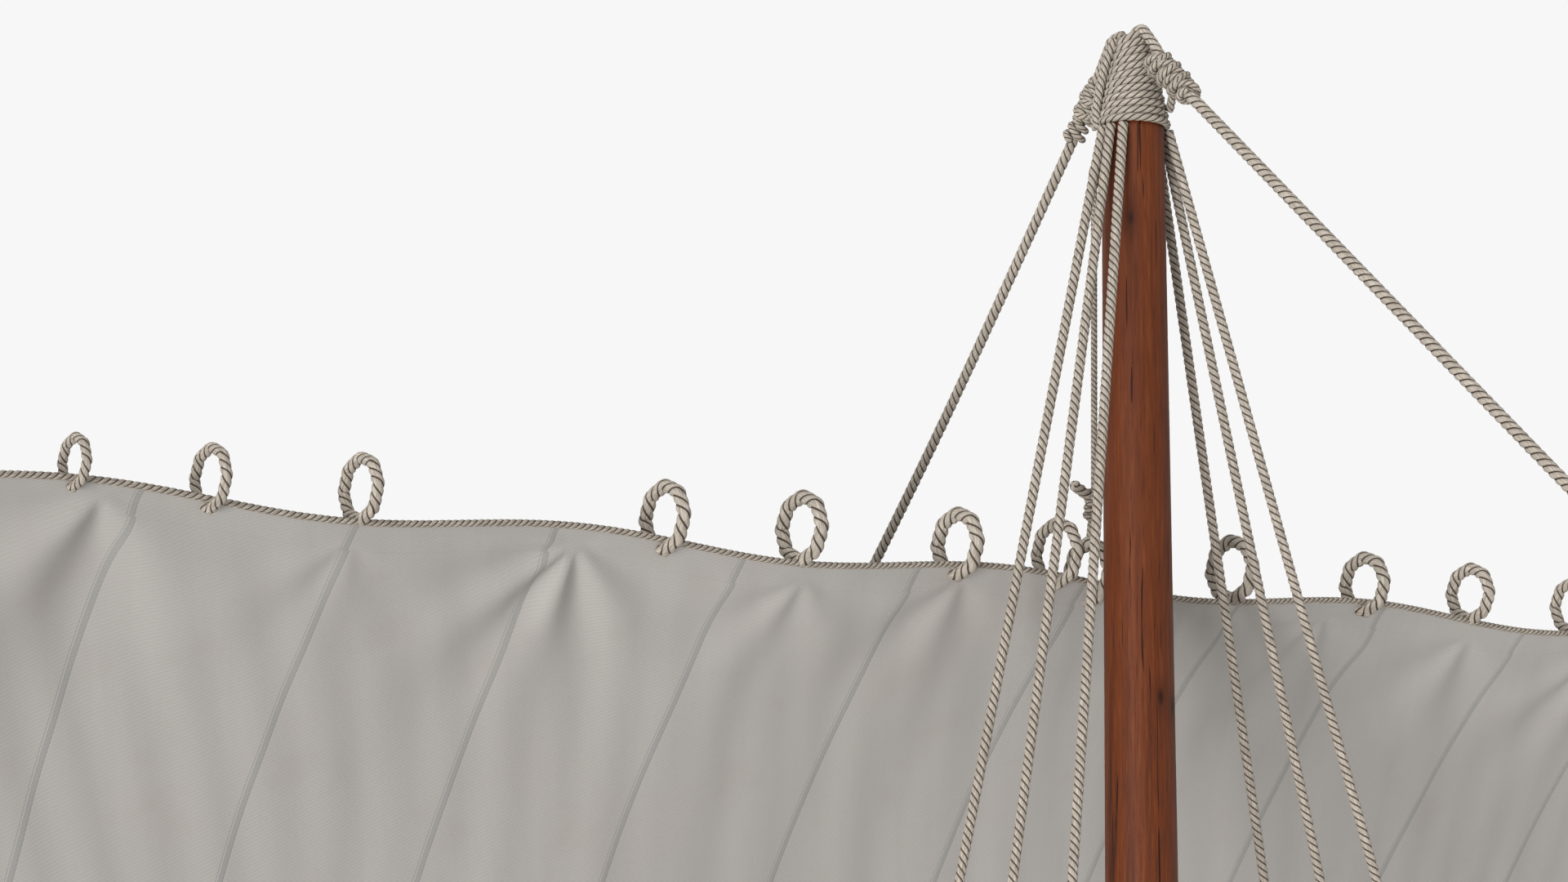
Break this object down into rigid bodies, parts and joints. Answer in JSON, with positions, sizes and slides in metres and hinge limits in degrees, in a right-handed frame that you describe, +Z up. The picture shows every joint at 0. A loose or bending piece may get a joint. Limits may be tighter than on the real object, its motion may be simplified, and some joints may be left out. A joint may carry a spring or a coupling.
{
  "type": "square sail rig",
  "caption": "Wooden mast with a rope-bound masthead, rope stays and shrouds, and a canvas square sail hung by rope loops.",
  "frame": {"origin": "centre of the heel tenon's lower end", "axes": "+Z up the mast, +Y forward, +X to starboard"},
  "size_m": [6.1646, 2.7834, 5.9804],
  "materials": {
    "mast_wood": "oiled, satin",
    "turned_wood": "oiled, satin",
    "rope": "laid natural fibre, matt",
    "sail_canvas": "twill canvas, matt"
  },
  "bodies": {
    "rig": {"mast": "mast_wood", "masthead_whipping": "rope", "mast_cleat": "turned_wood", "cleat_treenails": "turned_wood", "halyard_belay": "rope", "forestay": "rope", "forestay_seizing": "rope", "forestay_thimble": "turned_wood", "forestay_knot": "rope", "forestay_eye": "rope", "backstay": "rope", "backstay_seizing": "rope", "backstay_thimble": "turned_wood", "backstay_knot": "rope", "backstay_eye": "rope", "backstay_lower_leg": "rope", "halyard_bulls_eye": "turned_wood", "halyard_strop": "rope", "halyard_fall": "rope", "halyard": "rope", "port_fore_shroud": "rope", "port_middle_shroud": "rope", "port_aft_shroud": "rope", "port_shroud_seizings": "rope", "port_bulls_eyes": "turned_wood", "starboard_fore_shroud": "rope", "starboard_middle_shroud": "rope", "starboard_aft_shroud": "rope", "starboard_shroud_seizings": "rope", "starboard_bulls_eyes": "turned_wood"},
    "hitch": {"middle_head_loop": "rope", "halyard_knot": "rope", "loop_rope_tail": "rope"},
    "sail": {"sail_cloth": "sail_canvas", "head_rope": "rope", "foot_rope": "rope", "port_leech_rope": "rope", "starboard_leech_rope": "rope", "port_head_cringle": "rope", "starboard_head_cringle": "rope", "port_clew_cringle": "rope", "starboard_clew_cringle": "rope"},
    "port_loop_1": {"port_head_loop_1": "rope"},
    "port_loop_2": {"port_head_loop_2": "rope"},
    "port_loop_3": {"port_head_loop_3": "rope"},
    "port_loop_4": {"port_head_loop_4": "rope"},
    "port_loop_6": {"port_head_loop_6": "rope"},
    "port_loop_7": {"port_head_loop_7": "rope"},
    "port_loop_8": {"port_head_loop_8": "rope"},
    "starboard_loop_1": {"starboard_head_loop_1": "rope"},
    "starboard_loop_2": {"starboard_head_loop_2": "rope"},
    "starboard_loop_3": {"starboard_head_loop_3": "rope"},
    "starboard_loop_4": {"starboard_head_loop_4": "rope"},
    "starboard_loop_5": {"starboard_head_loop_5": "rope"},
    "starboard_loop_6": {"starboard_head_loop_6": "rope"},
    "starboard_loop_7": {"starboard_head_loop_7": "rope"},
    "starboard_loop_8": {"starboard_head_loop_8": "rope"}
  },
  "joints": [
    {"name": "hoist", "type": "slide", "parent": "rig", "child": "hitch", "axis": [0, 0, 1], "range_m": [-0.3, 0], "deforming": ["halyard"]},
    {"name": "brace", "type": "hinge", "parent": "hitch", "child": "sail", "pos_m": [0, 0.135, 4.659], "axis": [0, 0, 1], "range_deg": [-5, 5]},
    {"name": "port_loop_1_tilt", "type": "hinge", "parent": "sail", "child": "port_loop_1", "pos_m": [-0.13, 0.135, 4.67123], "axis": [1, 0, 0], "range_deg": [-12, 12], "stiffness_Nm_per_rad": 2},
    {"name": "port_loop_2_tilt", "type": "hinge", "parent": "sail", "child": "port_loop_2", "pos_m": [-0.435, 0.135, 4.67337], "axis": [1, 0, 0], "range_deg": [-12, 12], "stiffness_Nm_per_rad": 2},
    {"name": "port_loop_3_tilt", "type": "hinge", "parent": "sail", "child": "port_loop_3", "pos_m": [-0.89, 0.135, 4.64102], "axis": [1, 0, 0], "range_deg": [-12, 12], "stiffness_Nm_per_rad": 2},
    {"name": "port_loop_4_tilt", "type": "hinge", "parent": "sail", "child": "port_loop_4", "pos_m": [-1.27, 0.135, 4.66644], "axis": [1, 0, 0], "range_deg": [-12, 12], "stiffness_Nm_per_rad": 2},
    {"name": "port_loop_6_tilt", "type": "hinge", "parent": "sail", "child": "port_loop_6", "pos_m": [-2.05, 0.135, 4.6415], "axis": [1, 0, 0], "range_deg": [-12, 12], "stiffness_Nm_per_rad": 2},
    {"name": "port_loop_7_tilt", "type": "hinge", "parent": "sail", "child": "port_loop_7", "pos_m": [-2.407, 0.135, 4.65983], "axis": [1, 0, 0], "range_deg": [-12, 12], "stiffness_Nm_per_rad": 2},
    {"name": "port_loop_8_tilt", "type": "hinge", "parent": "sail", "child": "port_loop_8", "pos_m": [-2.716, 0.135, 4.67695], "axis": [1, 0, 0], "range_deg": [-12, 12], "stiffness_Nm_per_rad": 2},
    {"name": "starboard_loop_1_tilt", "type": "hinge", "parent": "sail", "child": "starboard_loop_1", "pos_m": [0.13, 0.135, 4.64677], "axis": [1, 0, 0], "range_deg": [-12, 12], "stiffness_Nm_per_rad": 2},
    {"name": "starboard_loop_2_tilt", "type": "hinge", "parent": "sail", "child": "starboard_loop_2", "pos_m": [0.435, 0.135, 4.64463], "axis": [1, 0, 0], "range_deg": [-12, 12], "stiffness_Nm_per_rad": 2},
    {"name": "starboard_loop_3_tilt", "type": "hinge", "parent": "sail", "child": "starboard_loop_3", "pos_m": [0.89, 0.135, 4.67698], "axis": [1, 0, 0], "range_deg": [-12, 12], "stiffness_Nm_per_rad": 2},
    {"name": "starboard_loop_4_tilt", "type": "hinge", "parent": "sail", "child": "starboard_loop_4", "pos_m": [1.27, 0.135, 4.65156], "axis": [1, 0, 0], "range_deg": [-12, 12], "stiffness_Nm_per_rad": 2},
    {"name": "starboard_loop_5_tilt", "type": "hinge", "parent": "sail", "child": "starboard_loop_5", "pos_m": [1.66, 0.135, 4.64611], "axis": [1, 0, 0], "range_deg": [-12, 12], "stiffness_Nm_per_rad": 2},
    {"name": "starboard_loop_6_tilt", "type": "hinge", "parent": "sail", "child": "starboard_loop_6", "pos_m": [2.05, 0.135, 4.6765], "axis": [1, 0, 0], "range_deg": [-12, 12], "stiffness_Nm_per_rad": 2},
    {"name": "starboard_loop_7_tilt", "type": "hinge", "parent": "sail", "child": "starboard_loop_7", "pos_m": [2.407, 0.135, 4.65817], "axis": [1, 0, 0], "range_deg": [-12, 12], "stiffness_Nm_per_rad": 2},
    {"name": "starboard_loop_8_tilt", "type": "hinge", "parent": "sail", "child": "starboard_loop_8", "pos_m": [2.716, 0.135, 4.64105], "axis": [1, 0, 0], "range_deg": [-12, 12], "stiffness_Nm_per_rad": 2}
  ],
  "couplings": [
    {"joint": "port_loop_2_tilt", "follows": "port_loop_1_tilt", "ratio": 1},
    {"joint": "port_loop_3_tilt", "follows": "port_loop_1_tilt", "ratio": 1},
    {"joint": "port_loop_4_tilt", "follows": "port_loop_1_tilt", "ratio": 1},
    {"joint": "port_loop_6_tilt", "follows": "port_loop_1_tilt", "ratio": 1},
    {"joint": "port_loop_7_tilt", "follows": "port_loop_1_tilt", "ratio": 1},
    {"joint": "port_loop_8_tilt", "follows": "port_loop_1_tilt", "ratio": 1},
    {"joint": "starboard_loop_2_tilt", "follows": "starboard_loop_1_tilt", "ratio": 1},
    {"joint": "starboard_loop_3_tilt", "follows": "starboard_loop_1_tilt", "ratio": 1},
    {"joint": "starboard_loop_4_tilt", "follows": "starboard_loop_1_tilt", "ratio": 1},
    {"joint": "starboard_loop_5_tilt", "follows": "starboard_loop_1_tilt", "ratio": 1},
    {"joint": "starboard_loop_6_tilt", "follows": "starboard_loop_1_tilt", "ratio": 1},
    {"joint": "starboard_loop_7_tilt", "follows": "starboard_loop_1_tilt", "ratio": 1},
    {"joint": "starboard_loop_8_tilt", "follows": "starboard_loop_1_tilt", "ratio": 1}
  ]
}
